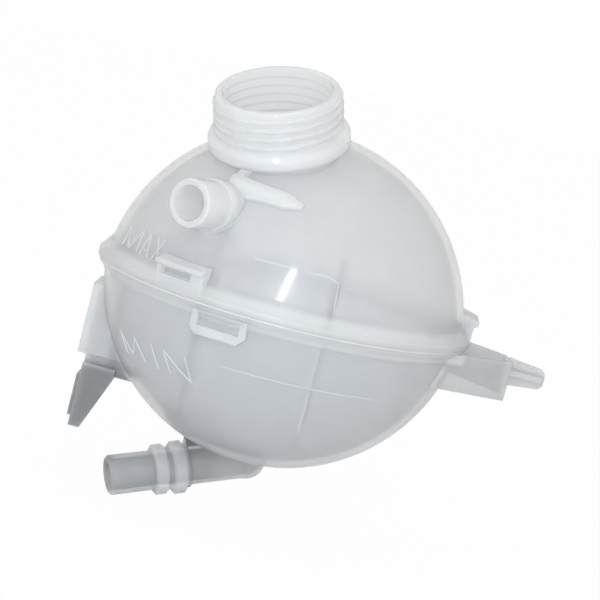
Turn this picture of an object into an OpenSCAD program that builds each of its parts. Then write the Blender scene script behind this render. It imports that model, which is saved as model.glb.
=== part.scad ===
// Coolant expansion tank: a ball of translucent plastic moulded as two shells and welded at a
// flange. The upper shell carries the threaded filler neck and the overflow port, the lower shell
// the hose outlet, the foot and the bracket with its locating peg.
// Z runs up as the tank is fitted, square to the weld plane, and X towards the peg. The origin is
// on the peg's axis, at the face of the bracket's end plate.

/* [Domes] */
// Outer radius of each dome
dome_r = 77.3; // [65:0.1:90]
// How far each dome's centre lies beyond the weld plane, in the other shell
dome_shift = 5.4; // [2:0.1:9]
// Wall of the shells
wall = 3.2; // [2:0.1:5]

/* [Weld flange] */
// How far the flange stands out of the domes at the weld plane
flange_out = 3.4; // [2:0.1:6]
// Height of one shell's flange
flange_h = 3.4; // [2:0.1:6]
// Height of the slope from the upper flange back to the dome
slope_up = 5.6; // [2:0.1:9]
// Height of the slope from the lower flange back to the dome
slope_down = 2.4; // [1:0.1:6]
// How far the lower flange stands in from the upper one
lower_set_in = 1; // [0:0.1:2]
// Chamfer of the lower flange's outer edge
lower_chamfer = 1.8; // [0:0.1:2.4]
// Chamfer at the weld, which leaves the fine line round the flange
weld_chamfer = 0.5; // [0.2:0.1:1]

/* [Filler neck] */
// Lean of the neck from upright, in degrees
neck_lean = 25.6; // [0:0.1:32]
// Direction in which the neck leans, in degrees from the peg
neck_turn = -124.2; // [-150:0.1:-100]
// Distance of the rim from the tank's centre
neck_top = 95; // [90:0.1:105]
// Outer radius of the neck under its thread
neck_r = 25.3; // [23:0.1:27]
// Radius of the filler bore
neck_bore_r = 22.5; // [19:0.1:22.9]
// Height of the thread's ridge
thread_h = 1.2; // [0.6:0.1:2]
// Pitch of the thread
thread_pitch = 3.7; // [3:0.1:5]
// Turns of the thread
thread_turns = 4.5; // [2:0.5:4.5]
// Plain land between the thread and the rim
rim_land = 0.9; // [0.8:0.1:3]
// Outer radius of the collar under the thread
collar_r = 29.1; // [27.5:0.1:32]
// Height of the collar
collar_h = 6.8; // [4:0.1:8]
// Distance of the collar's underside from the tank's centre
collar_low = 71.6; // [70:0.1:73]

/* [Overflow port] */
// Direction of the port, in degrees from the peg
port_turn = -121; // [-135:0.1:-110]
// Height of the port's axis over the weld plane
port_z = 36.6; // [30:0.1:40]
// Distance of the port's face from the tank's upright axis
port_reach = 85.5; // [80:0.1:100]
// Outer radius of the port
port_r = 9.6; // [8.5:0.1:10.5]
// Radius of the port's bore
port_bore_r = 7.2; // [5:0.1:7.8]
// Direction of the tip of the horn that runs round the dome from the port, in degrees
horn_turn = -91; // [-100:0.1:-85]
// Height of the horn's tip over the weld plane
horn_tip_z = 44.2; // [38:0.1:46]
// Radius of the horn beside the port
horn_root_r = 5.4; // [4.4:0.1:6.4]
// Radius of the horn where its tip begins to taper
horn_mid_r = 4.4; // [3:0.1:5.4]
// Radius of the horn's blunt end
horn_tip_r = 1.6; // [0.8:0.1:2.4]
// Length of the taper at the horn's tip
horn_taper = 7; // [4:0.1:12]

/* [Handling loops] */
// Direction of the upper shell's first loop, in degrees from the peg; two more follow, a third apart
upper_loop_turn = -121; // [-130:0.1:-112]
// Direction of the lower shell's first loop, in degrees from the peg; one more is a third behind it
lower_loop_turn = -105.7; // [-112:0.1:-100]
// Width of a loop
loop_w = 23; // [18:0.1:26]
// Height of an upper loop over the weld plane
loop_up = 12.4; // [11:0.1:15]
// Depth of a lower loop under the weld plane
loop_down = 12; // [10:0.1:14]
// Wall of a loop
loop_wall = 2.6; // [2:0.1:3.5]

/* [Peg bracket] */
// Distance of the bracket's end plate from the tank's upright axis
bracket_reach = 100; // [90:0.1:120]
// Half the width of the bracket where it leaves the dome
bracket_root = 36; // [28:0.1:42]
// Half the width of the bracket's end plate
bracket_tip = 9; // [7:0.1:14]
// Depth of the bracket at its end plate
bracket_h = 16.6; // [14:0.1:22]
// Fall of the bracket's lower edge from the dome to the end plate, in degrees
bracket_fall = 3; // [0:0.1:6]
// Distance of the bracket's upper edge under the weld plane
bracket_top = 1.4; // [0.5:0.1:3]
// Wall of the bracket
bracket_wall = 2.8; // [2:0.1:4]
// Length of the peg
peg_length = 15.2; // [8:0.1:25]
// Half the span of the peg's blades at the root
peg_root = 5.8; // [4:0.1:7]
// Half the span of the peg's blades at the tip
peg_tip = 4.2; // [2.5:0.1:5]
// Thickness of the peg's blades
blade = 2.6; // [2:0.1:4]

/* [Foot] */
// Distance of the foot's outer face from the tank's upright axis
foot_reach = 78.4; // [77:0.1:90]
// Half the width of the foot's upper box
foot_half = 12; // [10:0.1:16]
// Depth of the upper box's roof under the weld plane
foot_top = 12.6; // [10:0.1:16]
// Depth of the upper box's lower edge under the weld plane
foot_low = 42.6; // [38:0.1:44]
// Depth of the waist's lower edge, between box and dome, under the weld plane
waist_low = 50.4; // [48:0.1:52]
// Depth of the ledge on which the legs begin, under the weld plane
ledge_z = 46.6; // [45:0.1:47.5]
// Depth of the legs' tips under the weld plane
leg_low = 74.2; // [65:0.1:85]
// Width of a leg at its root
leg_root = 14.2; // [10:0.1:16]
// Width of a leg at its tip
leg_tip = 4.8; // [3.5:0.1:8]
// Wall of the foot
foot_wall = 2.8; // [2:0.1:4]
// Step in from the box's face to the legs' outer face
foot_step = 3.3; // [1.4:0.1:3.6]
// Length of the rail on the legs' outer face
rail_length = 18; // [10:0.1:19]
// Height of the rail over that face
rail_h = 2; // [1:0.1:2.4]

/* [Outlet] */
// Distance of the outlet's elbow from the centre, towards the peg
elbow_x = 1.2; // [-5:0.1:8]
// Distance of the elbow from the centre, across
elbow_y = 12; // [4:0.1:16]
// Depth of the elbow under the weld plane
elbow_z = 74.6; // [74:0.1:80]
// Direction of the outlet, in degrees from the peg
outlet_turn = -159; // [-170:0.1:-150]
// Fall of the outlet from level, in degrees
outlet_fall = 16.4; // [12:0.1:20]
// Length of the outlet from the elbow to its face
outlet_length = 61.4; // [56:0.1:75]
// Outer radius of the pipe behind the beads
pipe_r = 8.2; // [7.4:0.1:9]
// Outer radius of the spigot that the hose goes over
spigot_r = 8.55; // [8.4:0.05:9.5]
// Length of the spigot
spigot_length = 18.8; // [14:0.1:22]
// Bore radius of the outlet
outlet_bore_r = 6.7; // [4.5:0.1:6.9]
// How much thicker the wall is at the elbow and its boss
elbow_wall = 0.5; // [0.3:0.1:1.5]
// Height of the stop bead over the spigot
stop_bead = 2.25; // [1:0.05:3]
// Height of the retaining bead over the spigot
hold_bead = 2.85; // [1:0.05:3.5]
// Thickness of the gusset between pipe and dome
gusset_t = 3; // [2:0.1:4]

/* [Baffles] */
// Distance of the inner wall on the foot's side from the tank's upright axis
baffle_foot_side = 30; // [24:0.5:34]
// Distance of the inner wall on the peg's side from the tank's upright axis
baffle_peg_side = 20; // [14:0.5:28]
// Thickness of the inner walls
baffle_t = 2.4; // [1.6:0.1:3]
// Height of the upper shell's inner walls
baffle_up = 28; // [20:0.5:28.5]
// Depth at which the lower shell's inner walls stop short of the bottom
baffle_gap = 12; // [6:0.5:20]

/* [Hidden] */

round_fn = 144;
small_fn = 72;
sink = 1;
peg_rise = 0.7;
cavity_r = dome_r - wall;
seam_r = sqrt(dome_r * dome_r - dome_shift * dome_shift);
flange_r = seam_r + flange_out;
peg_z = -bracket_top - peg_root + peg_rise;
shell_at = [-bracket_reach, 0, -peg_z];
big = 3 * dome_r;
elbow_r = pipe_r + elbow_wall;
boss_bore_r = outlet_bore_r - 0.4;
bore_back = elbow_r / 3;
thread_r = neck_r + thread_h;
thread_sink = 0.4;
thread_foot = 0.36 * thread_pitch;
thread_crest = 0.13 * thread_pitch;
thread_end = neck_top - rim_land - thread_foot;
thread_start = thread_end - thread_pitch * thread_turns;
collar_top = collar_low + collar_h;
rim_edge = 0.8;
port_foot = 0.9;
port_edge = 0.6;
horn_rise = 8.4;
horn_out = 1.2;
rib_out = 8;
rib_turn = 2.4;
collar_slope = 2.7;
slot_h = 3;
slot_roof = 0.4;
slot_far_wall = 6.2;
roof_rise = 1.8;
loop_floor = 3.6;
hook_out = 1.3;
hook_edge = 0.5;
loop_chamfer = 2;
top_chamfer_angle = 40;
top_chamfer = 5;
peg_chamfer = 1.6;
bead_slope = 1.6;
bead_flat = 3.8;
groove_w = 1.2;
spigot_edge = 1;
upper_loops = [for (k = [0:2]) upper_loop_turn + 120 * k];
lower_loops = [for (k = [0:1]) lower_loop_turn - 120 * k];

// Radius of the dome's outer face at a height over or under the weld plane
function dome_at(h) = sqrt(dome_r * dome_r - (h + dome_shift) * (h + dome_shift));

// Places a child that is drawn along Z on the neck's axis
module on_neck() {
    rotate([0, neck_lean, neck_turn])
        children();
}

// Places a child that is drawn along Z on the port's axis
module on_port() {
    translate([0, 0, port_z])
        rotate([0, 90, port_turn])
            children();
}

// Places a child that is drawn along Z on the outlet's axis, from the elbow outwards
module on_outlet() {
    translate([elbow_x, elbow_y, -elbow_z])
        rotate([0, 90 + outlet_fall, outlet_turn])
            children();
}

// Outside of a dome with its flange, which stands in from the upper shell's by a step
module dome_body(slope, set_in, chamfer) {
    edge_r = flange_r - set_in;
    intersection() {
        translate([0, 0, -dome_shift])
            sphere(r = dome_r, $fn = round_fn);
        translate([0, 0, big / 2])
            cube([big, big, big], center = true);
    }
    rotate_extrude($fn = round_fn)
        polygon([
            [cavity_r - wall, 0],
            [edge_r - weld_chamfer, 0],
            [edge_r, weld_chamfer],
            [edge_r, flange_h - chamfer],
            [edge_r - chamfer, flange_h],
            [dome_at(flange_h + slope), flange_h + slope],
            [cavity_r - wall, flange_h + slope]
        ]);
}

// Space inside a dome
module cavity() {
    translate([0, 0, -dome_shift])
        sphere(r = cavity_r, $fn = round_fn);
}

// Inner walls of a shell between the weld plane and a height
module baffles(height) {
    intersection() {
        translate([0, 0, -dome_shift])
            sphere(r = cavity_r + wall / 2, $fn = round_fn);
        for (x = [-baffle_foot_side, baffle_peg_side])
            translate([x - baffle_t / 2, -big / 2, 0])
                cube([baffle_t, big, height]);
    }
}

// Ridge of the neck's thread, with its ends run out into the neck
module thread() {
    steps = 36;
    ramp = 6;
    rings = steps * thread_turns;
    root = neck_r - thread_sink;
    low_crest = root + thread_sink / 4;
    function run_out(i) = min(1, i / ramp, (rings - i) / ramp);
    function crest(i) = low_crest + (thread_r - low_crest) * run_out(i);
    function ring_point(i, r, dz) = let (a = i * 360 / steps)
        [r * cos(a), r * sin(a), thread_start + thread_pitch * i / steps + dz];
    points = [
        for (i = [0:rings])
            for (p = [
                [root, -thread_foot],
                [crest(i), -thread_crest],
                [crest(i), thread_crest],
                [root, thread_foot]
            ])
                ring_point(i, p[0], p[1])
    ];
    sides = [
        for (i = [0:rings - 1])
            for (k = [0:3])
                [4 * i + k, 4 * i + (k + 1) % 4, 4 * i + 4 + (k + 1) % 4, 4 * i + 4 + k]
    ];
    ends = [[3, 2, 1, 0], [4 * rings, 4 * rings + 1, 4 * rings + 2, 4 * rings + 3]];
    polyhedron(points = points, faces = concat(sides, ends));
}

// Outside of the filler neck with its collar
module neck_body() {
    on_neck() {
        rotate_extrude($fn = round_fn)
            polygon([
                [0, collar_low - 3 * wall],
                [neck_r, collar_low - 3 * wall],
                [neck_r, collar_low],
                [collar_r - rim_edge / 2, collar_low],
                [collar_r, collar_low + rim_edge / 2],
                [collar_r, collar_top - collar_slope],
                [collar_r - rim_edge, collar_top - rim_edge],
                [neck_r + rim_edge, collar_top],
                [neck_r, collar_top + rim_edge],
                [neck_r, neck_top - rim_edge],
                [neck_r - rim_edge, neck_top],
                [0, neck_top]
            ]);
        thread();
    }
}

// Outside of the overflow port, the horn beside it and the rib up to the collar
module port_body() {
    foot_end = dome_at(port_z - port_r);
    horn_root_z = port_z + horn_rise;
    horn_root = (dome_at(horn_root_z) + horn_out) * [cos(port_turn), sin(port_turn)];
    horn_tip = dome_at(horn_tip_z) * [cos(horn_turn), sin(horn_turn)];
    run = [horn_tip[0] - horn_root[0], horn_tip[1] - horn_root[1], horn_tip_z - horn_root_z];
    horn_length = norm(run);
    on_port()
        rotate_extrude($fn = small_fn)
            polygon([
                [0, 0],
                [port_r + port_foot, 0],
                [port_r + port_foot, foot_end],
                [port_r, foot_end + port_foot],
                [port_r, port_reach - port_edge],
                [port_r - port_edge, port_reach],
                [0, port_reach]
            ]);
    translate([horn_root[0], horn_root[1], horn_root_z])
        rotate([0, acos(run[2] / horn_length), atan2(run[1], run[0])])
            rotate_extrude($fn = small_fn)
                polygon([
                    [0, 0],
                    [horn_root_r, 0],
                    [horn_mid_r, horn_length - horn_taper],
                    [horn_tip_r, horn_length],
                    [0, horn_length]
                ]);
    rib_z = port_z + port_r;
    rib_r = dome_at(rib_z);
    rotate([90, 0, port_turn + rib_turn])
        translate([0, 0, -wall / 2])
            linear_extrude(wall)
                polygon([
                    [rib_r - rib_out, port_z],
                    [rib_r - rib_out, rib_z + rib_out],
                    [rib_r, rib_z + 0.75 * rib_out],
                    [rib_r + rib_out, rib_z - sink]
                ]);
}

// A handling loop on the upper shell: a roofed step with a slot under its roof
module upper_loop() {
    dome_face = dome_at(loop_up / 2);
    roof_low = loop_up - loop_wall;
    difference() {
        rotate([90, 0, 0])
            translate([0, 0, -loop_w / 2])
                linear_extrude(loop_w)
                    polygon([
                        [dome_face - wall, flange_h - sink],
                        [flange_r - hook_edge, flange_h - sink],
                        [flange_r - hook_edge, roof_low - hook_edge],
                        [flange_r + hook_out, roof_low + hook_edge],
                        [flange_r + hook_out, loop_up - hook_edge],
                        [dome_face - wall, loop_up + roof_rise]
                    ]);
        translate([dome_face + slot_roof, -loop_w / 2 + loop_wall, roof_low - slot_h - slot_roof])
            cube([dome_face, loop_w - loop_wall - slot_far_wall, slot_h]);
    }
}

// A handling loop under the lower shell's flange, drawn the right way up for the lower dome
module lower_loop() {
    strap_face = flange_r - lower_set_in - hook_edge / 5;
    dome_face = dome_at(loop_down);
    difference() {
        translate([dome_face - wall, -loop_w / 2, flange_h - sink])
            cube([strap_face - dome_face + wall, loop_w, loop_down - flange_h + sink]);
        translate([dome_at(flange_h) + slot_roof / 2, -loop_w / 2 + loop_wall, flange_h])
            cube([dome_face, loop_w - 2 * loop_wall, loop_down - flange_h - loop_floor]);
        for (side = [-1, 1])
            translate([dome_face - 2 * wall, side * loop_w / 2, loop_down])
                rotate([side * 45, 0, 0])
                    translate([0, -loop_chamfer, -loop_chamfer])
                        cube([4 * wall, 2 * loop_chamfer, 2 * loop_chamfer]);
    }
}

// Outside of the two-armed bracket with the locating peg at its end
module bracket_body() {
    inner_x = bracket_reach - bracket_wall;
    root_x = sqrt(cavity_r * cavity_r - bracket_root * bracket_root) - wall;
    slope = (bracket_root - bracket_tip) / (bracket_reach - root_x);
    side_wall = bracket_wall * sqrt(1 + slope * slope);
    difference() {
        translate([0, 0, -bracket_top - bracket_h])
            linear_extrude(bracket_h)
                difference() {
                    polygon([
                        [root_x, -bracket_root],
                        [bracket_reach, -bracket_tip],
                        [bracket_reach, bracket_tip],
                        [root_x, bracket_root]
                    ]);
                    polygon([
                        [root_x - sink, -bracket_root + side_wall - slope * sink],
                        [inner_x, -bracket_tip + side_wall - slope * bracket_wall],
                        [inner_x, bracket_tip - side_wall + slope * bracket_wall],
                        [root_x - sink, bracket_root - side_wall + slope * sink]
                    ]);
                }
        translate([bracket_reach, 0, -bracket_top - bracket_h])
            rotate([0, bracket_fall, 0])
                translate([-dome_r, -dome_r, -dome_r])
                    cube([2 * dome_r, 2 * dome_r, dome_r]);
        translate([bracket_reach, 0, -bracket_top])
            rotate([0, top_chamfer_angle, 0])
                translate([-top_chamfer, 0, -sink])
                    cube([dome_r, dome_r, dome_r]);
    }
    translate([0, 0, peg_z]) {
        rotate([90, 0, 0])
            peg_blade();
        peg_blade();
    }
}

// One flat blade of the peg
module peg_blade() {
    tip_x = bracket_reach + peg_length;
    translate([0, 0, -blade / 2])
        linear_extrude(blade)
            polygon([
                [bracket_reach - bracket_wall / 2, -peg_root],
                [bracket_reach, -peg_root],
                [tip_x - peg_chamfer, -peg_tip],
                [tip_x, -peg_tip + peg_chamfer],
                [tip_x, peg_tip - peg_chamfer],
                [tip_x - peg_chamfer, peg_tip],
                [bracket_reach, peg_root],
                [bracket_reach - bracket_wall / 2, peg_root]
            ]);
}

// Outside of the foot: a box, open below, its waist, and two legs with a rail on their outer face
module foot_body() {
    leg_face = foot_reach - foot_step;
    waist_half = foot_half - 1.5 * foot_wall;
    box_in = dome_at(foot_low) - 2 * wall;
    waist_in = dome_at(waist_low) - 2 * wall;
    difference() {
        translate([-foot_reach, -foot_half, -foot_low])
            cube([foot_reach - box_in, 2 * foot_half, foot_low - foot_top]);
        translate([-foot_reach + foot_wall, -foot_half + foot_wall, -foot_low - sink])
            cube([foot_reach, 2 * (foot_half - foot_wall), foot_low - foot_top - foot_wall + sink]);
    }
    difference() {
        translate([-leg_face, -waist_half, -waist_low])
            cube([leg_face - waist_in, 2 * waist_half, waist_low - foot_top - foot_wall]);
        translate([-leg_face + foot_wall, -waist_half + foot_wall, -waist_low - sink])
            cube([foot_reach, 2 * (waist_half - foot_wall), waist_low]);
    }
    for (side = [-1, 1])
        translate([0, side * (foot_half - foot_wall), 0]) {
            rotate([90, 0, 0])
                translate([0, 0, -foot_wall])
                    linear_extrude(2 * foot_wall)
                        polygon([
                            [-leg_face, -ledge_z],
                            [-leg_face, -ledge_z - foot_wall],
                            [-leg_face + leg_root, -ledge_z - foot_wall],
                            [-leg_face + leg_root, -ledge_z]
                        ]);
            rotate([90, 0, 0])
                translate([0, 0, side > 0 ? -foot_wall : 0])
                    linear_extrude(foot_wall)
                        polygon([
                            [-leg_face, -ledge_z],
                            [-leg_face, -leg_low],
                            [-leg_face + leg_tip, -leg_low],
                            [-leg_face + leg_root, -waist_low],
                            [-leg_face + leg_root, -ledge_z]
                        ]);
        }
    translate([-leg_face, -foot_half, -leg_low])
        cube([foot_wall, 2 * foot_half, leg_low - ledge_z]);
    translate([-leg_face - rail_h, -foot_half / 2, -waist_low - rail_length - foot_wall])
        cube([rail_h + sink, foot_half, rail_length]);
}

// Outside of the outlet: boss, elbow, pipe, two beads, spigot and gusset
module outlet_body() {
    stop_end = outlet_length - spigot_length;
    stop_start = stop_end - bead_slope - bead_flat;
    hold_end = stop_start - bead_slope - groove_w;
    hold_start = hold_end - bead_slope - bead_flat;
    collar_start = hold_start - bead_slope - groove_w;
    groove_r = spigot_r + 0.7;
    stop_r = spigot_r + stop_bead;
    hold_r = spigot_r + hold_bead;
    translate([elbow_x, elbow_y, -elbow_z]) {
        sphere(r = elbow_r, $fn = small_fn);
        cylinder(h = elbow_z / 4, r = elbow_r + elbow_wall, $fn = small_fn);
    }
    on_outlet()
        rotate_extrude($fn = small_fn)
            polygon([
                [0, 0],
                [pipe_r, 0],
                [pipe_r, collar_start],
                [groove_r, collar_start],
                [groove_r, hold_start - bead_slope],
                [hold_r, hold_start],
                [hold_r, hold_end - bead_slope],
                [groove_r, hold_end],
                [groove_r, stop_start - bead_slope],
                [stop_r, stop_start],
                [stop_r, stop_end - bead_slope],
                [spigot_r, stop_end],
                [spigot_r, outlet_length - spigot_edge],
                [spigot_r - spigot_edge, outlet_length],
                [0, outlet_length]
            ]);
    gusset_run = (hold_start + bead_slope) * cos(outlet_fall);
    translate([elbow_x, elbow_y, 0])
        rotate([90, 0, outlet_turn])
            translate([0, 0, -gusset_t / 2])
                linear_extrude(gusset_t)
                    polygon([
                        [0, -elbow_z],
                        [gusset_run, -elbow_z - gusset_run * tan(outlet_fall) + pipe_r / 2],
                        [gusset_run, -dome_r + dome_shift + 2.4 * wall],
                        [0, -cavity_r]
                    ]);
}

// Upper shell with the filler neck and the overflow port, moulded in one
module upper_shell() {
    color([0.90, 0.92, 0.93])
        translate(shell_at) {
            difference() {
                union() {
                    dome_body(slope_up, 0, weld_chamfer);
                    neck_body();
                    port_body();
                    for (turn = upper_loops)
                        rotate([0, 0, turn])
                            upper_loop();
                }
                cavity();
                on_neck()
                    cylinder(h = neck_top + sink, r = neck_bore_r, $fn = round_fn);
                on_port()
                    cylinder(h = port_reach + sink, r = port_bore_r, $fn = small_fn);
            }
            baffles(baffle_up);
        }
}

// Lower shell with the peg bracket, the foot and the outlet, moulded in one
module lower_shell() {
    color([0.84, 0.86, 0.88])
        translate(shell_at) {
            difference() {
                union() {
                    mirror([0, 0, 1]) {
                        dome_body(slope_down, lower_set_in, lower_chamfer);
                        for (turn = lower_loops)
                            rotate([0, 0, turn])
                                lower_loop();
                    }
                    bracket_body();
                    foot_body();
                    outlet_body();
                }
                mirror([0, 0, 1])
                    cavity();
                translate([elbow_x, elbow_y, -elbow_z - bore_back])
                    cylinder(h = elbow_z / 4, r = boss_bore_r, $fn = small_fn);
                on_outlet()
                    translate([0, 0, -bore_back])
                        cylinder(h = outlet_length + bore_back + sink, r = outlet_bore_r, $fn = small_fn);
            }
            mirror([0, 0, 1])
                baffles(dome_r - dome_shift - baffle_gap);
        }
}

upper_shell();
lower_shell();
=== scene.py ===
import math

import bmesh
import bpy
from mathutils import Matrix, Vector


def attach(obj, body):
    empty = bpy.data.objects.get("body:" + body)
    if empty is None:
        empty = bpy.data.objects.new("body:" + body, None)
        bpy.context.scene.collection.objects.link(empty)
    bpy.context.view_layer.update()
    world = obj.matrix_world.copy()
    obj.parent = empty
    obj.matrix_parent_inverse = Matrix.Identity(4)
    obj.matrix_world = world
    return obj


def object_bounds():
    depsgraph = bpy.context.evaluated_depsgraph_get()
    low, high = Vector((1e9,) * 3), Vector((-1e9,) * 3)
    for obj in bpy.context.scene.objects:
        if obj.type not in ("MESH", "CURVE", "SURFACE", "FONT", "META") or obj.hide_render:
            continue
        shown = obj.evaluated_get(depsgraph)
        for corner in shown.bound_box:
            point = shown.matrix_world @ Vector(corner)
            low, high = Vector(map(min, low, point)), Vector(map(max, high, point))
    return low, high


bl_info = {
    "name": "Coolant expansion tank",
    "version": (1, 0, 0),
    "blender": (4, 5, 0),
    "location": "View3D > Sidebar > Tank",
    "description": "Dresses the two welded shells of a translucent coolant expansion tank",
    "category": "Object",
}

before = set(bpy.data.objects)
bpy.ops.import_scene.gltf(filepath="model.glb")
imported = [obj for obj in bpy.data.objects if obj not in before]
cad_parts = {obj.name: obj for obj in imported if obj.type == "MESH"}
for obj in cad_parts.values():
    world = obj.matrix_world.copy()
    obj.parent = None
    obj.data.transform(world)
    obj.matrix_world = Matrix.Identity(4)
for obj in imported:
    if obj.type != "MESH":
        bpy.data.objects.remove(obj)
CAD_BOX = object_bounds()

MM = 0.001
# Centre of the weld plane, seen from the peg's root
SEAM = Vector((-0.1, 0.0, 0.0065))

# Sizes of the tank in millimetres, with places taken from the centre of the weld plane
DOME_R = 77.3
DOME_SHIFT = 5.4
WELD_NOTCH_R = 79.7
NECK_LEAN = math.radians(25.6)
NECK_TURN = math.radians(-124.2)
NECK_TURNED = Matrix.Rotation(NECK_TURN, 3, "Z") @ Matrix.Rotation(NECK_LEAN, 3, "Y")
NECK_BORE_R = 22.5
NECK_TOP = 95.0
THREAD_PITCH = 3.7
PORT_TURN = math.radians(-121.0)
PORT_AXIS = Vector((math.cos(PORT_TURN), math.sin(PORT_TURN), 0))
PORT_PLACE = Vector((0, 0, 36.6))
PORT_R = 9.6
OUTLET_TURN = math.radians(-159.0)
OUTLET_FALL = math.radians(16.4)
OUTLET_TURNED = Matrix.Rotation(OUTLET_TURN, 3, "Z") @ Matrix.Rotation(OUTLET_FALL, 3, "Y")
ELBOW = Vector((1.2, 12.0, -74.6))
PIPE_R = 8.2

# Masks on both shells, by the distance from the dome's centre. Each mask here and below is 0 at
# its first value and 1 at its second, in millimetres
INNER_FACE = (DOME_R - 2.0, DOME_R - 2.8)
STANDING_OUT = (DOME_R + 0.3, DOME_R + 2.0)

# Masks on the upper shell: along and beside the neck and the port, out to the flange and its
# height, and towards the peg
NECK_ROOT = (70.0, 73.5)
NECK_REACH = (34.0, 31.0)
NECK_BORE = (NECK_BORE_R + 1.0, NECK_BORE_R + 0.4)
THREAD_TOP = (NECK_TOP - 1.0, NECK_TOP - 3.0)
PORT_ROOT = (62.0, 69.0)
PORT_REACH = (PORT_R + 2.0, PORT_R + 1.0)
PORT_BORE = (PORT_R - 2.0, PORT_R - 2.3)
UPPER_FLANGE = (76.6, 79.0)
UPPER_FLANGE_HEIGHT = (10.0, 6.5)
AWAY_FROM_PEG = (75.0, 55.0)
PEG_SIDE = (62.0, 70.0)

# Masks on the lower shell: out to the flange and the loops, towards foot and bracket, in height
LOWER_FLANGE = (75.5, 78.0)
LOWER_FLANGE_EDGE = (83.0, 81.0)
LOWER_FLANGE_HEIGHT = (6.5, 4.5)
LOOP_REACH = (75.5, 77.0)
LOOP_HEIGHT = (14.0, 12.5)
LOOP_LEFT = (-60.0, -58.0)
LOOP_RIGHT = (40.0, 36.0)
FOOT_BOX = (-62.0, -68.0)
FOOT_BOX_FLOOR = (-48.0, -44.0)
FOOT_LEGS = (-50.0, -56.0)
FOOT_LEGS_TOP = (-46.0, -49.0)
BRACKET = (55.0, 63.0)
BRACKET_UNDERSIDE = (-14.0, -20.0)

# Masks on the outlet: beside its axis, along its axis from the elbow, and in height
BEAD_FACE = (PIPE_R + 0.9, PIPE_R + 1.9)
BEAD_RIM = (12.6, 11.9)
BEADS_START = (26.4, 27.4)
BEADS_END = (48.0, 44.0)
HOSE_BORE = (PIPE_R - 1.2, PIPE_R - 1.8)
HOSE_BORE_START = (10.0, 20.0)
GUSSET_FOOT = (PIPE_R + 0.4, PIPE_R + 1.0)
GUSSET_EDGE = (27.4, 26.4)
GUSSET_OVER_BEAD = (PIPE_R + 3.4, PIPE_R + 4.2)
GUSSET_OVER_BEAD_END = (36.0, 34.0)
GUSSET_START = (2.0, 8.0)
GUSSET_TOP = (-60.0, -64.0)
NOOK_FLOOR = (-74.0, -72.0)

# Patterns of the plastic: scales per millimetre, and the levels between which a tone changes
CLOUD_SCALE = 0.016
SINK_SCALE = 0.05
WAVE_SCALE = 0.035
GRAIN_SCALE = 1.6
PATCH_SCALE = 0.25
MILK_LEVELS = (0.38, 0.64)
PATCH_LEVELS = (0.35, 0.65)
THREAD_CREST = (0.35, 1.0)
# The flow lines: their scale, how close they lie round the neck, and how far they run down
FLOW_SCALE = 2.4
FLOW_ROUND = 2.2
FLOW_DOWN = 0.012
# Shares of the clouds in the milkiness of each shell; flow lines or sinks make the rest
UPPER_CLOUDS = 0.75
LOWER_CLOUDS = 0.6
# Heights of the sink waves and of the grain, in millimetres, and the radius of a softened edge
WAVE_HEIGHT = 0.5
GRAIN_HEIGHT = 0.006
MARK_GRAIN_HEIGHT = 0.02
EDGE_R = 0.5 * MM

# How far a feature takes on the colour of thick sections
UPPER_THICK = 0.85
LOWER_THICK = 0.9
UPPER_FLANGE_THICK = 0.8
LOWER_FLANGE_THICK = 0.75
LUGS_THICK = 0.75
LOOPS_THICK = 0.75
BEADS_THICK = 0.5
# The foot's box takes on the thick colour as painted light from the lit wall behind it
FOOT_BOX_PAINTED_LIGHT = 0.65
# How far a feature takes on white, which is painted light in the bores, or the colour of thin
# walls, or a darker level, which is painted shade
NECK_BORE_LIGHT = 0.4
PORT_BORE_LIGHT = 0.9
FAR_LOOP_THIN = 0.75
THREAD_SHADE_SHARE = 0.4
BRACKET_SHADE = 0.18
BRACKET_UNDERSIDE_SHADE = 0.25
NOOK_SHADE = 0.8
# Levels of a colour in its darker parts: in its clouds, sinks and patches, and in its painted
# shade at the thread, on the shaded walls and in the nook
CLOUD_LEVEL = 0.97
SINK_LEVEL = 0.9
PATCH_LEVEL = 0.93
THREAD_SHADE_LEVEL = 0.62
PAINTED_SHADE_LEVEL = 0.42
NOOK_SHADE_LEVEL = 0.15
# Shares of the clearness that thick, far and painted-shade parts lose, and that the lower shell
# has
THICK_LOSS = 0.4
FAR_LOOP_LOSS = 0.5
PAINTED_SHADE_CLEAR_LOSS = 0.7
LOWER_CLEAR = 0.8
# Roughness of the outer face, and what clouds and the inner face add to it
OUTER_ROUGH = 0.08
CLOUD_ROUGH = 0.08
INNER_ROUGH = 0.25
# Roughness of the small marks, and what their patches add to it and to their clearness
MARK_ROUGH = 0.16
PATCH_ROUGH = 0.12
PATCH_CLEAR = 0.1

# Fixed tones of single features: the painted light in the bores, and the paler tones of the small
# marks, which also paint their highlights; and how clear the small marks are
PAINTED_BORE_LIGHT = (0.97, 0.975, 0.985)
FLASH_WHITE = (0.94, 0.945, 0.96)
FLASH_CLEAR = 0.25
LINE_WHITE = (0.84, 0.86, 0.89)
LINE_CLEAR = 0.66
WORD_WHITE = (0.88, 0.895, 0.92)
WORD_CLEAR = 0.5

# The level lines: height over the weld plane, first and last azimuth in degrees
MAX_LINE = (22.0, -102.0, -77.0)
MIN_LINE = (-22.6, -103.0, -48.0)
# The drop at the end of the upper line: azimuth and height of its points
DROP_TOP = (-77.0, 22.0)
DROP_CORNER = (-74.4, 20.0)
DROP_FOOT = (-74.3, 9.2)
# Width and height of the drop's two strokes
DROP_TURN_STROKE = (0.7 * MM, 0.25 * MM)
DROP_FALL_STROKE = (0.5 * MM, 0.2 * MM)

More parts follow.
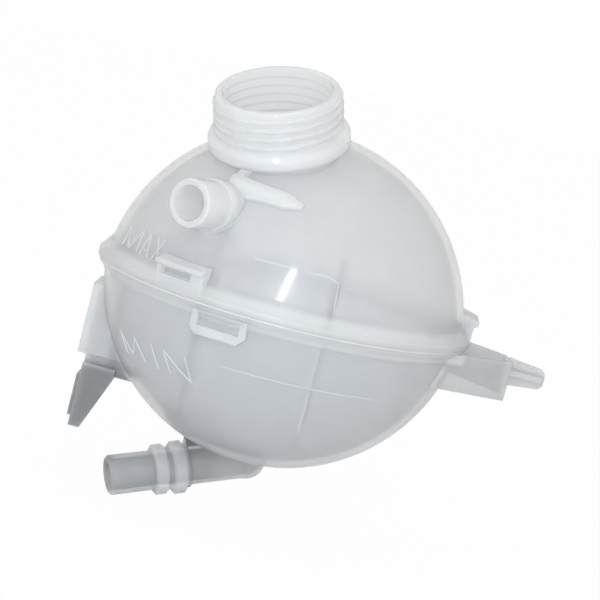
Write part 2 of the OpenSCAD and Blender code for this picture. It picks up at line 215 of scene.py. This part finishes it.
# Strokes of the level words, each from one azimuth and height on the dome to the next
MAX_STROKES = [
    ((-154.8, 8.8), (-154.9, 18.0)),
    ((-154.9, 18.0), (-149.8, 8.8)),
    ((-149.8, 8.8), (-144.9, 18.0)),
    ((-144.9, 18.0), (-144.2, 8.4)),
    ((-142.4, 8.4), (-140.5, 18.0)),
    ((-140.5, 18.0), (-138.0, 8.3)),
    ((-141.8, 11.4), (-138.8, 11.4)),
    ((-136.6, 18.0), (-132.4, 8.3)),
    ((-132.9, 18.0), (-136.0, 8.2)),
]
MIN_STROKES = [
    ((-148.8, -24.4), (-145.4, -33.0)),
    ((-148.8, -24.4), (-141.0, -31.8)),
    ((-141.0, -31.8), (-138.8, -24.4)),
    ((-138.8, -24.4), (-134.2, -32.8)),
    ((-130.1, -24.2), (-127.6, -33.2)),
    ((-124.6, -24.0), (-122.0, -33.4)),
    ((-124.6, -24.0), (-113.4, -33.7)),
    ((-116.0, -24.0), (-113.4, -33.7)),
]
# A stroke's depth into the wall and its longest facet
STROKE_ROOT = 0.4 * MM
STROKE_STEP = 1.2 * MM
# Share of its width by which a stroke is longer than its line
STROKE_OVERRUN = 0.6
# Share of its width that the ends of an edge along the stroke may lie apart across it
STROKE_LEVEL = 0.01
# Share of its height above which a stroke's top edges lie
STROKE_TOP = 0.9
# Share of its width or height, whichever is less, that the rounding of its edges takes
STROKE_ROUNDING = 0.42

# How finely the beads are swept: sides of the round section, steps of the weld and of a line
BEAD_SIDES = 10
WELD_STEPS = 180
LINE_STEPS = 40
# Share of a level line's radius that lies in the wall
LINE_SUNK = 0.45
# Corners of a mesh that lie closer than this are one
MERGE_GAP = 0.0005 * MM

# The camera: its place in metres, where its right side and its back point, the width of its
# sensor in millimetres and how near it sees, in metres
CAMERA_PLACE = (-0.0932, -0.8385, 0.1264)
CAMERA_RIGHT = (0.9677, 0.0355, 0.2496)
CAMERA_BACK = (0.0, -0.99, 0.1409)
SENSOR_WIDTH = 36.0
NEAREST_VIEW = 0.01

# The floor: its radius and its gap under the tank in metres, the number of its sides, its
# speckles and its two tones
FLOOR_R = 6.0
FLOOR_GAP = 0.2 * MM
FLOOR_SIDES = 96
SPECKLE_SCALE = 60.0
SPECKLE_LEVELS = (0.3, 0.7)
FLOOR_DARK = (0.86, 0.86, 0.87)
FLOOR_PALE = (0.88, 0.88, 0.88)
# Share of the floor's look to the camera that glows; the rest keeps the tank's shadow
FLOOR_GLOW = 0.97
WHITE = (1.0, 1.0, 1.0)

# The room's level, what the camera's side and the ceiling add to it, and its share of blue
ROOM_BASE = 0.96
ROOM_FRONT = 0.12
ROOM_ABOVE = 0.08
ROOM_BLUE = 0.955

# Colour of the light of the soft boxes
COOL_LIGHT = (0.84, 0.92, 1.0)
# The soft boxes: where they lie, their distance, width and height in metres, their roll in degrees
KEY_BOX = ((-0.25, -0.62, 0.75), 1.2, 1.0, 0.8, 0.0)
STRIP_BOX = ((-0.024, -0.962, 0.272), 0.95, 0.035, 0.6, -10.0)
SIDE_STRIP = ((-0.69, -0.62, 0.375), 0.95, 0.05, 0.3, -8.0)


class TankSizes(bpy.types.PropertyGroup):
    """Sizes of the fine moulded marks"""

    stroke_width: bpy.props.FloatProperty(
        name="Stroke width",
        description="Width of a raised stroke of the level lettering",
        default=0.6 * MM,
        min=0.3 * MM,
        max=1.5 * MM,
        unit="LENGTH",
    )
    stroke_height: bpy.props.FloatProperty(
        name="Stroke height",
        description="How far the lettering stands out of the dome",
        default=0.28 * MM,
        min=0.1 * MM,
        max=0.8 * MM,
        unit="LENGTH",
    )
    line_radius: bpy.props.FloatProperty(
        name="Level line radius",
        description="Radius of the round rib that marks a coolant level",
        default=0.42 * MM,
        min=0.2 * MM,
        max=1.0 * MM,
        unit="LENGTH",
    )
    flash_radius: bpy.props.FloatProperty(
        name="Weld flash radius",
        description="Radius of the bead that the hot plate weld squeezes out",
        default=0.45 * MM,
        min=0.2 * MM,
        max=0.6 * MM,
        unit="LENGTH",
    )


class TankColours(bpy.types.PropertyGroup):
    """Colours of the natural polypropylene"""

    upper: bpy.props.FloatVectorProperty(
        name="Upper shell",
        description="Colour of the upper dome's wall",
        default=(0.735, 0.742, 0.772),
        min=0,
        max=1,
        subtype="COLOR",
    )
    # Darker than the upper shell: painted shade of the tank's lower half
    lower: bpy.props.FloatVectorProperty(
        name="Lower shell",
        description="Colour of the lower dome's wall",
        default=(0.635, 0.648, 0.68),
        min=0,
        max=1,
        subtype="COLOR",
    )
    thick: bpy.props.FloatVectorProperty(
        name="Thick sections",
        description="Colour where the plastic is thick and scatters more, as on neck and flange",
        default=(0.86, 0.866, 0.895),
        min=0,
        max=1,
        subtype="COLOR",
    )
    thin: bpy.props.FloatVectorProperty(
        name="Thin walls",
        description="Colour of single walls outside the ball, as on foot, bracket and outlet",
        default=(0.57, 0.575, 0.60),
        min=0,
        max=1,
        subtype="COLOR",
    )
    clearness: bpy.props.FloatProperty(
        name="Clearness",
        description="How much of what lies behind shows through one surface",
        default=0.6,
        min=0,
        max=0.7,
        subtype="FACTOR",
    )


class TankStage(bpy.types.PropertyGroup):
    """Camera and light of the studio"""

    lens: bpy.props.FloatProperty(
        name="Focal length",
        description="Focal length of the camera on a 36 mm sensor, in millimetres",
        default=120.0,
        min=20,
        max=300,
    )
    key_power: bpy.props.FloatProperty(
        name="Key light",
        description="Power of the large soft box above the camera",
        default=0.5,
        min=0,
        unit="POWER",
    )
    strip_power: bpy.props.FloatProperty(
        name="Strip light",
        description="Power of the narrow box that leaves the upright highlight",
        default=4.0,
        min=0,
        unit="POWER",
    )
    side_power: bpy.props.FloatProperty(
        name="Side strip",
        description="Power of the narrow box on the left, which leaves a faint streak",
        default=0.15,
        min=0,
        unit="POWER",
    )
    room_level: bpy.props.FloatProperty(
        name="Room light",
        description="Level of the even light from all round",
        default=0.76,
        min=0,
        max=2,
    )


class Wire:
    """A socket of a material, used as a number in an expression"""

    def __init__(self, board, socket):
        self.board = board
        self.socket = socket

    def join(self, operation, first, second):
        return self.board.node("ShaderNodeMath", {"operation": operation}, {0: first, 1: second})

    def __add__(self, other):
        return self.join("ADD", self, other)

    def __radd__(self, other):
        return self.join("ADD", other, self)

    def __sub__(self, other):
        return self.join("SUBTRACT", self, other)

    def __rsub__(self, other):
        return self.join("SUBTRACT", other, self)

    def __mul__(self, other):
        return self.join("MULTIPLY", self, other)

    def __rmul__(self, other):
        return self.join("MULTIPLY", other, self)

    def __pow__(self, other):
        return self.join("POWER", self, other)

    def __abs__(self):
        return self.join("ABSOLUTE", self, 0.0)

    def cosine(self):
        return self.join("COSINE", self, 0.0)

    def most(self, other):
        return self.join("MAXIMUM", self, other)

    def ramp(self, start, end):
        """0 before start and 1 after end, with a soft step between; start may be the larger"""
        return self.board.node(
            "ShaderNodeMapRange",
            {"interpolation_type": "SMOOTHSTEP"},
            {"Value": self, "From Min": start, "From Max": end},
        )

    def output(self, key):
        """Another output of the same node"""
        return Wire(self.board, self.socket.node.outputs[key])


class Board:
    """The node tree of a material or a world while it is being wired"""

    def __init__(self, owner):
        self.owner = owner
        owner.use_nodes = True
        self.tree = owner.node_tree
        self.tree.nodes.clear()

    def node(self, kind, settings=None, inputs=None, output=0):
        made = self.tree.nodes.new(kind)
        for key, value in (settings or {}).items():
            setattr(made, key, value)
        for key, value in (inputs or {}).items():
            if isinstance(value, Wire):
                self.tree.links.new(value.socket, made.inputs[key])
            else:
                made.inputs[key].default_value = value
        return Wire(self, made.outputs[output] if made.outputs else None)

    def vector(self, operation, first, second=None, output=0):
        inputs = {0: first}
        if second is not None:
            inputs[3 if operation == "SCALE" else 1] = second
        return self.node("ShaderNodeVectorMath", {"operation": operation}, inputs, output)

    def mix(self, share, first, second):
        """A colour between two colours"""
        return self.node(
            "ShaderNodeMix", {"data_type": "RGBA"}, {0: share, 6: first, 7: second}, output=2
        )

    def noise(self, place, scale, detail=2.0):
        return self.node(
            "ShaderNodeTexNoise", {}, {"Vector": place, "Scale": scale, "Detail": detail}, "Fac"
        )

    def two_tones(self, share, colour, darker):
        """A colour that changes softly from a darker level of itself to its full level"""
        return self.mix(share, tone(colour, darker), tone(colour))

    def place_in_mm(self):
        """The surface's place on the tank, in millimetres from the centre of the weld plane"""
        place = self.node("ShaderNodeTexCoord", output="Object")
        return self.vector("SCALE", self.vector("SUBTRACT", place, SEAM), 1 / MM)

    def parts(self, place):
        """How far a place lies to the right, how high, and how far from the upright axis"""
        x = self.node("ShaderNodeSeparateXYZ", {}, {0: place}, "X")
        y, z = x.output("Y"), x.output("Z")
        return x, z, (x * x + y * y) ** 0.5

    def dome_masks(self, place, centre_z):
        """Masks of a dome's inner face and of all that stands out of its outer face"""
        arm = self.vector("SUBTRACT", place, (0, 0, centre_z))
        reach = self.vector("LENGTH", arm, output="Value")
        return reach.ramp(*INNER_FACE), reach.ramp(*STANDING_OUT)

    def part_along(self, arm, direction):
        return self.vector("DOT_PRODUCT", arm, direction, output="Value")

    def along_axis(self, place, start, axis):
        """How far a place lies along an axis and beside it"""
        arm = self.vector("SUBTRACT", place, start)
        cross = self.vector("CROSS_PRODUCT", arm, axis)
        return self.part_along(arm, axis), self.vector("LENGTH", cross, output="Value")

    def turn_about(self, place, turned):
        """Angle of a place about the Z axis of a turned frame"""
        across = self.part_along(place, turned.col[1])
        return across.join("ARCTAN2", across, self.part_along(place, turned.col[0]))

    def finish(self, surface):
        self.node("ShaderNodeOutputMaterial", {}, {"Surface": surface})
        return self.owner


def tone(colour, level=1.0):
    """A colour at a level of itself, as a colour socket takes it"""
    return (*(part * level for part in colour), 1.0)


def moulded_surface(board, mm):
    """Normal of a moulded surface: softened edges, slight sink waves and a fine grain"""
    waves = board.noise(mm, WAVE_SCALE, detail=1.0)
    grain = board.noise(mm, GRAIN_SCALE)
    edge = board.node("ShaderNodeBevel", {"samples": 4}, {"Radius": EDGE_R})
    return board.node(
        "ShaderNodeBump",
        {},
        {
            "Strength": 0.5,
            "Distance": 1.0 * MM,
            "Height": waves * WAVE_HEIGHT + grain * GRAIN_HEIGHT,
            "Normal": edge,
        },
    )


def polypropylene(board, colour, clear, roughness, normal, depth=1.0):
    """The closing shader of every plastic piece; depth is the share of light that goes into it"""
    return board.node(
        "ShaderNodeBsdfPrincipled",
        {},
        {
            "Base Color": colour,
            "Alpha": 1 - clear,
            "Roughness": roughness,
            "IOR": 1.49,
            "Specular IOR Level": 0.8,
            "Coat Weight": 0.2,
            "Coat Roughness": 0.3,
            "Subsurface Weight": depth,
            "Subsurface Radius": (1.0, 1.0, 1.0),
            "Subsurface Scale": 12.0 * MM,
            "Normal": normal,
        },
    )


def shell_roughness(cloud, inside):
    """Roughness of a shell: glossy outside, duller in its clouds and on its inner face"""
    return OUTER_ROUGH + cloud * CLOUD_ROUGH + inside * INNER_ROUGH


def upper_plastic(colours):
    """Plastic of the upper shell, paler at neck, port, flange and lugs, with painted light in the
    bores and painted shade of the thread
    """
    board = Board(bpy.data.materials.new("natural_pp_upper"))
    mm = board.place_in_mm()
    x, z, upright = board.parts(mm)
    inside, outside = board.dome_masks(mm, -DOME_SHIFT)

    along, beside = board.along_axis(mm, (0, 0, 0), NECK_TURNED.col[2])
    neck = along.ramp(*NECK_ROOT) * beside.ramp(*NECK_REACH)
    turn = board.turn_about(mm, NECK_TURNED)
    # Painted shade: the outside thread, as it shows through the neck's wall, is painted as faint
    # grey turns in its bore
    bore = neck * beside.ramp(*NECK_BORE)
    turns = (along * (math.tau / THREAD_PITCH) - turn).cosine().ramp(*THREAD_CREST)
    painted_thread_shade = bore * turns * along.ramp(*THREAD_TOP)

    port_along, port_beside = board.along_axis(mm, PORT_PLACE, PORT_AXIS)
    port = port_along.ramp(*PORT_ROOT) * port_beside.ramp(*PORT_REACH)
    tube = port * port_beside.ramp(*PORT_BORE)
    flange = upright.ramp(*UPPER_FLANGE) * abs(z).ramp(*UPPER_FLANGE_HEIGHT) * UPPER_FLANGE_THICK
    # What stands out of the dome: loops, horn and rib
    lugs = outside * LUGS_THICK * x.ramp(*AWAY_FROM_PEG)
    far_loop = outside * x.ramp(*PEG_SIDE)
    thick = neck.most(port).most(flange).most(lugs)

    cloud = board.noise(mm, CLOUD_SCALE)
    # Flow lines that spread from the neck, where the plastic enters the mould
    flow_place = board.node(
        "ShaderNodeCombineXYZ", {}, {"X": turn * FLOW_ROUND, "Y": along * FLOW_DOWN, "Z": 0.0}
    )
    flow = board.noise(flow_place, FLOW_SCALE, detail=3.0)
    milk = cloud * UPPER_CLOUDS + flow * (1 - UPPER_CLOUDS)

    dome = board.two_tones(milk.ramp(*MILK_LEVELS), colours.upper, CLOUD_LEVEL)
    body = board.mix(thick * UPPER_THICK, dome, tone(colours.thick))
    # Painted light: the bores of neck and port are lightened towards white, as if lit through
    # their walls
    white = bore * NECK_BORE_LIGHT + tube * PORT_BORE_LIGHT
    body = board.mix(white, body, tone(PAINTED_BORE_LIGHT))
    body = board.mix(far_loop * FAR_LOOP_THIN, body, tone(colours.thin))
    thread_shade = tone(colours.upper, THREAD_SHADE_LEVEL)
    colour = board.mix(painted_thread_shade * THREAD_SHADE_SHARE, body, thread_shade)
    clear = (1 - thick * THICK_LOSS) * (1 - far_loop * FAR_LOOP_LOSS) * colours.clearness
    roughness = shell_roughness(cloud, inside)
    normal = moulded_surface(board, mm)
    return board.finish(polypropylene(board, colour, clear, roughness, normal))


def outlet_masks(board, mm, z):
    """Masks of the outlet's beads, of the bore inside its pipe and of its gusset; the last two
    carry painted shade
    """
    along, beside = board.along_axis(mm, ELBOW, OUTLET_TURNED.col[0])
    beads = beside.ramp(*BEAD_FACE) * along.ramp(*BEADS_START)
    beads = beads * beside.ramp(*BEAD_RIM) * along.ramp(*BEADS_END)
    hose_bore = beside.ramp(*HOSE_BORE) * along.ramp(*HOSE_BORE_START)
    gusset = beside.ramp(*GUSSET_FOOT) * along.ramp(*GUSSET_EDGE)
    over_bead = beside.ramp(*GUSSET_OVER_BEAD) * along.ramp(*GUSSET_OVER_BEAD_END)
    gusset = gusset.most(over_bead) * along.ramp(*GUSSET_START) * z.ramp(*GUSSET_TOP)
    return beads, hose_bore, gusset


def lower_plastic(colours):
    """Plastic of the lower shell, darker on the thin walls that hang free of the ball, with
    painted shade on legs, outlet bore, gusset and bracket
    """
    board = Board(bpy.data.materials.new("natural_pp_lower"))
    mm = board.place_in_mm()
    x, z, upright = board.parts(mm)
    inside, outside = board.dome_masks(mm, DOME_SHIFT)

    flange = upright.ramp(*LOWER_FLANGE) * upright.ramp(*LOWER_FLANGE_EDGE)
    flange = flange * abs(z).ramp(*LOWER_FLANGE_HEIGHT) * LOWER_FLANGE_THICK
    loops = upright.ramp(*LOOP_REACH) * abs(z).ramp(*LOOP_HEIGHT) * x.ramp(*LOOP_LEFT)
    loops = loops * x.ramp(*LOOP_RIGHT) * outside * LOOPS_THICK
    beads, hose_bore, gusset = outlet_masks(board, mm, z)
    # Painted light and shade: the foot's box stands before a lit wall and is painted lighter, its
    # legs hang free and are painted darker
    box = x.ramp(*FOOT_BOX) * z.ramp(*FOOT_BOX_FLOOR) * FOOT_BOX_PAINTED_LIGHT
    legs = x.ramp(*FOOT_LEGS) * z.ramp(*FOOT_LEGS_TOP)
    # Painted shade on the bracket, deeper on its underside
    bracket_underside_shade = z.ramp(*BRACKET_UNDERSIDE) * BRACKET_UNDERSIDE_SHADE
    bracket = x.ramp(*BRACKET) * (BRACKET_SHADE + bracket_underside_shade)
    thick = flange.most(loops).most(beads * BEADS_THICK).most(box)
    # Painted shade: legs, the bore inside the outlet, its gusset and the bracket take a darker
    # tone and let less show through
    painted_shade = legs.most(hose_bore).most(gusset).most(bracket)
    # Deeper painted shade on the gusset, in the nook under the dome
    nook_shade = gusset * z.ramp(*NOOK_FLOOR) * NOOK_SHADE

    cloud = board.noise(mm, CLOUD_SCALE)
    sinks = board.noise(mm, SINK_SCALE)
    milk = cloud * LOWER_CLOUDS + sinks * (1 - LOWER_CLOUDS)
    dome = board.two_tones(milk.ramp(*MILK_LEVELS), colours.lower, CLOUD_LEVEL)
    walls = board.two_tones(sinks.ramp(*PATCH_LEVELS), colours.thin, SINK_LEVEL)
    walls = board.mix(painted_shade, walls, tone(colours.thin, PAINTED_SHADE_LEVEL))
    walls = board.mix(nook_shade, walls, tone(colours.thin, NOOK_SHADE_LEVEL))
    body = board.mix(outside, dome, walls)
    colour = board.mix(thick * LOWER_THICK, body, tone(colours.thick))
    clear = (1 - thick * THICK_LOSS) * (1 - painted_shade * PAINTED_SHADE_CLEAR_LOSS) * (LOWER_CLEAR * colours.clearness)
    roughness = shell_roughness(cloud, inside)
    normal = moulded_surface(board, mm)
    return board.finish(polypropylene(board, colour, clear, roughness, normal))


def mark_plastic(name, colour, clear):
    """Plastic of the small raised marks, paler than the shells: this makes up for the light they
    don't scatter inside, and paints the highlights that their edges catch
    """
    board = Board(bpy.data.materials.new(name))
    mm = board.place_in_mm()
    patches = board.noise(mm, PATCH_SCALE)
    shade = board.two_tones(patches.ramp(*PATCH_LEVELS), colour, PATCH_LEVEL)
    clear = patches * PATCH_CLEAR + clear
    roughness = MARK_ROUGH + patches * PATCH_ROUGH
    relief = board.noise(mm, GRAIN_SCALE) * MARK_GRAIN_HEIGHT
    normal = board.node(
        "ShaderNodeBump", {}, {"Strength": 0.4, "Distance": 1.0 * MM, "Height": relief}
    )
    return board.finish(polypropylene(board, shade, clear, roughness, normal, depth=0.0))


def finished_piece(name, bm, material):
    """Makes the mesh an object of the tank, with its faces outwards and smooth"""
    bmesh.ops.remove_doubles(bm, verts=bm.verts, dist=MERGE_GAP)
    bmesh.ops.recalc_face_normals(bm, faces=bm.faces)
    mesh = bpy.data.meshes.new(name)
    bm.to_mesh(mesh)
    bm.free()
    mesh.shade_smooth()
    mesh.materials.append(material)
    piece = bpy.data.objects.new(name, mesh)
    bpy.context.scene.collection.objects.link(piece)
    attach(piece, "root")


def swept_bead(bm, radius, height, bead_r, start_deg, end_deg, steps):
    """A round bead along a level circle round the tank's upright axis, closed at its ends"""
    full = abs(end_deg - start_deg) >= 360
    start = math.radians(start_deg)
    made = bmesh.ops.create_circle(bm, cap_ends=not full, segments=BEAD_SIDES, radius=bead_r)
    verts = made["verts"]
    bmesh.ops.rotate(bm, verts=verts, matrix=Matrix.Rotation(math.pi / 2, 3, "X"))
    bmesh.ops.translate(bm, verts=verts, vec=(radius, 0, 0))
    bmesh.ops.rotate(bm, verts=verts, matrix=Matrix.Rotation(start, 3, "Z"))
    bmesh.ops.translate(bm, verts=verts, vec=SEAM + Vector((0, 0, height)))
    edges = {e for v in verts for e in v.link_edges}
    faces = {f for v in verts for f in v.link_faces}
    bmesh.ops.spin(
        bm,
        geom=list(verts) + list(edges) + list(faces),
        cent=SEAM,
        axis=(0, 0, 1),
        angle=math.radians(end_deg - start_deg),
        steps=steps,
        use_merge=full,
    )
    open_edges = [e for e in bm.edges if e.is_boundary]
    if open_edges:
        bmesh.ops.holes_fill(bm, edges=open_edges, sides=0)


def level_radius(height, centre_z):
    """Radius of a dome's outer face at a height over the weld plane"""
    rise = height - centre_z
    return math.sqrt(DOME_R * DOME_R - rise * rise)


def on_dome(azimuth, height, centre_z):
    """Direction from a dome's centre to the point at an azimuth in degrees and a height"""
    turn = math.radians(azimuth)
    flat = level_radius(height, centre_z)
    rise = height - centre_z
    return Vector((flat * math.cos(turn), flat * math.sin(turn), rise)).normalized()


def straight_rib(length, width, height):
    """A low rib along X with its top edges rounded, cut into short facets"""
    rib = bmesh.new()
    bmesh.ops.create_cube(rib, size=1.0)
    bmesh.ops.scale(rib, verts=rib.verts, vec=(length, width, height + STROKE_ROOT))
    bmesh.ops.translate(rib, verts=rib.verts, vec=(0, 0, (height - STROKE_ROOT) / 2))
    along = [e for e in rib.edges if abs(e.verts[0].co.x - e.verts[1].co.x) > length / 2]
    cuts = max(2, int(length / STROKE_STEP))
    bmesh.ops.subdivide_edges(rib, edges=along, cuts=cuts)
    top = [
        e
        for e in rib.edges
        if all(v.co.z > height * STROKE_TOP for v in e.verts)
        and abs(e.verts[0].co.y - e.verts[1].co.y) < width * STROKE_LEVEL
    ]
    bmesh.ops.bevel(
        rib,
        geom=top,
        offset=min(width, height) * STROKE_ROUNDING,
        segments=2,
        profile=0.5,
        affect="EDGES",
        material=-1,
    )
    return rib


def raised_stroke(bm, centre_z, start, end, width, height):
    """A low rib that follows a dome from one point to the next, each an azimuth and a height"""
    first, last = on_dome(*start, centre_z), on_dome(*end, centre_z)
    span = first.angle(last) * DOME_R * MM
    rib = straight_rib(span + width * STROKE_OVERRUN, width, height)
    side = first.cross(last).normalized()
    centre = SEAM + Vector((0, 0, centre_z * MM))
    for v in rib.verts:
        turned = first.lerp(last, v.co.x / span + 0.5).normalized()
        v.co = centre + turned * (DOME_R * MM + v.co.z) + side * v.co.y
    mesh = bpy.data.meshes.new("stroke")
    rib.to_mesh(mesh)
    rib.free()
    bm.from_mesh(mesh)
    bpy.data.meshes.remove(mesh)


def soft_box(name, power, direction, distance, width, height, roll):
    """A rectangular soft light that faces the tank's middle, rolled about its own axis"""
    data = bpy.data.lights.new(name, "AREA")
    data.shape = "RECTANGLE"
    data.size = width
    data.size_y = height
    data.energy = power
    data.color = COOL_LIGHT
    lamp = bpy.data.objects.new(name, data)
    away = Vector(direction).normalized()
    turned = away.to_track_quat("Z", "Y").to_matrix().to_4x4()
    turned = turned @ Matrix.Rotation(math.radians(roll), 4, "Z")
    lamp.matrix_world = Matrix.Translation(SEAM + away * distance) @ turned
    bpy.context.scene.collection.objects.link(lamp)


def seen_directly(board):
    """Mask of the rays that the camera sends out, straight or through something clear"""
    path = board.node("ShaderNodeLightPath", output="Is Camera Ray")
    return path.most(path.output("Is Transmission Ray"))


def floor_paint():
    """Pale paint that shows white to the camera and keeps the tank's shadow"""
    board = Board(bpy.data.materials.new("pale_floor"))
    place = board.node("ShaderNodeTexCoord", output="Object")
    speckle = board.noise(place, SPECKLE_SCALE, detail=3.0)
    paint = board.mix(speckle.ramp(*SPECKLE_LEVELS), tone(FLOOR_DARK), tone(FLOOR_PALE))
    diffuse = board.node("ShaderNodeBsdfDiffuse", {}, {"Color": paint})
    glow = board.node("ShaderNodeEmission", {}, {"Color": tone(WHITE), "Strength": 1.0})
    share = seen_directly(board) * FLOOR_GLOW
    return board.finish(board.node("ShaderNodeMixShader", {}, {0: share, 1: diffuse, 2: glow}))


def lay_floor():
    """A round floor just under the tank"""
    bm = bmesh.new()
    bmesh.ops.create_circle(bm, cap_ends=True, segments=FLOOR_SIDES, radius=FLOOR_R)
    bmesh.ops.translate(bm, verts=bm.verts, vec=(SEAM.x, 0, CAD_BOX[0].z - FLOOR_GAP))
    mesh = bpy.data.meshes.new("floor")
    bm.to_mesh(mesh)
    bm.free()
    mesh.materials.append(floor_paint())
    floor = bpy.data.objects.new("floor", mesh)
    bpy.context.scene.collection.objects.link(floor)


def light_room(level):
    """An even room, white to the camera and a little brighter on its side and above"""
    world = bpy.data.worlds.new("studio")
    bpy.context.scene.world = world
    board = Board(world)
    seen = seen_directly(board)
    way = board.node("ShaderNodeTexCoord", output="Generated")
    y = board.node("ShaderNodeSeparateXYZ", {}, {0: way}, "Y")
    fade = (ROOM_BASE - y * ROOM_FRONT + y.output("Z") * ROOM_ABOVE) * level
    warm = board.node("ShaderNodeCombineColor", {}, {0: fade, 1: fade, 2: fade * ROOM_BLUE})
    light = board.mix(seen, warm, tone(WHITE))
    room = board.node("ShaderNodeBackground", {}, {"Color": light, "Strength": 1.0})
    board.node("ShaderNodeOutputWorld", {}, {"Surface": room})


class TANK_OT_camera(bpy.types.Operator):
    """Sets up the camera at the height, roll and distance of the photograph"""

    bl_idname = "tank.camera"
    bl_label = "Camera"

    def execute(self, context):
        data = bpy.data.cameras.new("camera")
        data.lens = context.scene.tank_stage.lens
        data.sensor_width = SENSOR_WIDTH
        data.clip_start = NEAREST_VIEW
        camera = bpy.data.objects.new("camera", data)
        back = Vector(CAMERA_BACK).normalized()
        up = back.cross(Vector(CAMERA_RIGHT)).normalized()
        turned = Matrix((up.cross(back), up, back)).transposed().to_4x4()
        camera.matrix_world = Matrix.Translation(CAMERA_PLACE) @ turned
        context.scene.collection.objects.link(camera)
        context.scene.camera = camera
        return {"FINISHED"}


class TANK_OT_plastics(bpy.types.Operator):
    """Gives the two CAD shells their translucent natural plastic"""

    bl_idname = "tank.plastics"
    bl_label = "Plastic of the shells"

    def execute(self, context):
        colours = context.scene.tank_colours
        for node, material in (
            ("upper_shell", upper_plastic(colours)),
            ("lower_shell", lower_plastic(colours)),
        ):
            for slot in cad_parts[node].material_slots:
                slot.material = material
        return {"FINISHED"}


class TANK_OT_weld(bpy.types.Operator):
    """Lays the bead of weld flash into the notch between the two flanges"""

    bl_idname = "tank.weld"
    bl_label = "Weld flash"

    def execute(self, context):
        sizes = context.scene.tank_sizes
        bm = bmesh.new()
        swept_bead(bm, WELD_NOTCH_R * MM, 0.0, sizes.flash_radius, 0, 360, WELD_STEPS)
        plastic = mark_plastic("weld_flash", FLASH_WHITE, FLASH_CLEAR)
        finished_piece("weld_flash", bm, plastic)
        return {"FINISHED"}


class TANK_OT_level_lines(bpy.types.Operator):
    """Raises the round ribs that mark the highest and lowest coolant level"""

    bl_idname = "tank.level_lines"
    bl_label = "Level lines"

    def execute(self, context):
        sizes = context.scene.tank_sizes
        plastic = mark_plastic("level_mark", LINE_WHITE, LINE_CLEAR)
        for name, line, centre_z, slot in (
            ("level_line_max", MAX_LINE, -DOME_SHIFT, "natural_plastic_upper"),
            ("level_line_min", MIN_LINE, DOME_SHIFT, "natural_plastic_lower"),
        ):
            height, start, end = line
            radius = level_radius(height, centre_z) * MM - sizes.line_radius * LINE_SUNK
            bm = bmesh.new()
            swept_bead(bm, radius, height * MM, sizes.line_radius, start, end, LINE_STEPS)
            finished_piece(name, bm, plastic)
        bm = bmesh.new()
        raised_stroke(bm, -DOME_SHIFT, DROP_TOP, DROP_CORNER, *DROP_TURN_STROKE)
        raised_stroke(bm, -DOME_SHIFT, DROP_CORNER, DROP_FOOT, *DROP_FALL_STROKE)
        finished_piece("level_drop", bm, plastic)
        return {"FINISHED"}


class TANK_OT_level_words(bpy.types.Operator):
    """Raises the strokes of the two level words on the domes"""

    bl_idname = "tank.level_words"
    bl_label = "Level words"

    def execute(self, context):
        sizes = context.scene.tank_sizes
        plastic = mark_plastic("level_word", WORD_WHITE, WORD_CLEAR)
        for name, strokes, centre_z, slot in (
            ("level_word_max", MAX_STROKES, -DOME_SHIFT, "natural_plastic_upper"),
            ("level_word_min", MIN_STROKES, DOME_SHIFT, "natural_plastic_lower"),
        ):
            bm = bmesh.new()
            for start, end in strokes:
                raised_stroke(bm, centre_z, start, end, sizes.stroke_width, sizes.stroke_height)
            finished_piece(name, bm, plastic)
        return {"FINISHED"}


class TANK_OT_stage(bpy.types.Operator):
    """Sets the pale floor, the white surroundings and the soft lights"""

    bl_idname = "tank.stage"
    bl_label = "Stage and lights"

    def execute(self, context):
        settings = context.scene.tank_stage
        lay_floor()
        light_room(settings.room_level)
        soft_box("key_box", settings.key_power, *KEY_BOX)
        soft_box("strip_box", settings.strip_power, *STRIP_BOX)
        soft_box("side_strip", settings.side_power, *SIDE_STRIP)
        context.scene.view_settings.view_transform = "Standard"
        return {"FINISHED"}


class TANK_PT_panel(bpy.types.Panel):
    """Lists the steps that dress the tank, in their order"""

    bl_idname = "TANK_PT_panel"
    bl_label = "Coolant expansion tank"
    bl_space_type = "VIEW_3D"
    bl_region_type = "UI"
    bl_category = "Tank"

    def draw(self, context):
        layout = self.layout
        for operator in STEPS:
            layout.operator(operator.bl_idname)
        for group in ("tank_sizes", "tank_colours", "tank_stage"):
            settings = getattr(context.scene, group)
            box = layout.box()
            for key in settings.__annotations__:
                box.prop(settings, key)


STEPS = (
    TANK_OT_camera,
    TANK_OT_plastics,
    TANK_OT_weld,
    TANK_OT_level_lines,
    TANK_OT_level_words,
    TANK_OT_stage,
)
CLASSES = (TankSizes, TankColours, TankStage, *STEPS, TANK_PT_panel)


def register():
    for cls in CLASSES:
        bpy.utils.register_class(cls)
    bpy.types.Scene.tank_sizes = bpy.props.PointerProperty(type=TankSizes)
    bpy.types.Scene.tank_colours = bpy.props.PointerProperty(type=TankColours)
    bpy.types.Scene.tank_stage = bpy.props.PointerProperty(type=TankStage)


def unregister():
    del bpy.types.Scene.tank_stage
    del bpy.types.Scene.tank_colours
    del bpy.types.Scene.tank_sizes
    for cls in reversed(CLASSES):
        bpy.utils.unregister_class(cls)


def main():
    register()
    bpy.ops.tank.camera()
    bpy.ops.tank.plastics()
    bpy.ops.tank.weld()
    bpy.ops.tank.level_lines()
    bpy.ops.tank.level_words()
    bpy.ops.tank.stage()


if __name__ == "__main__":
    main()
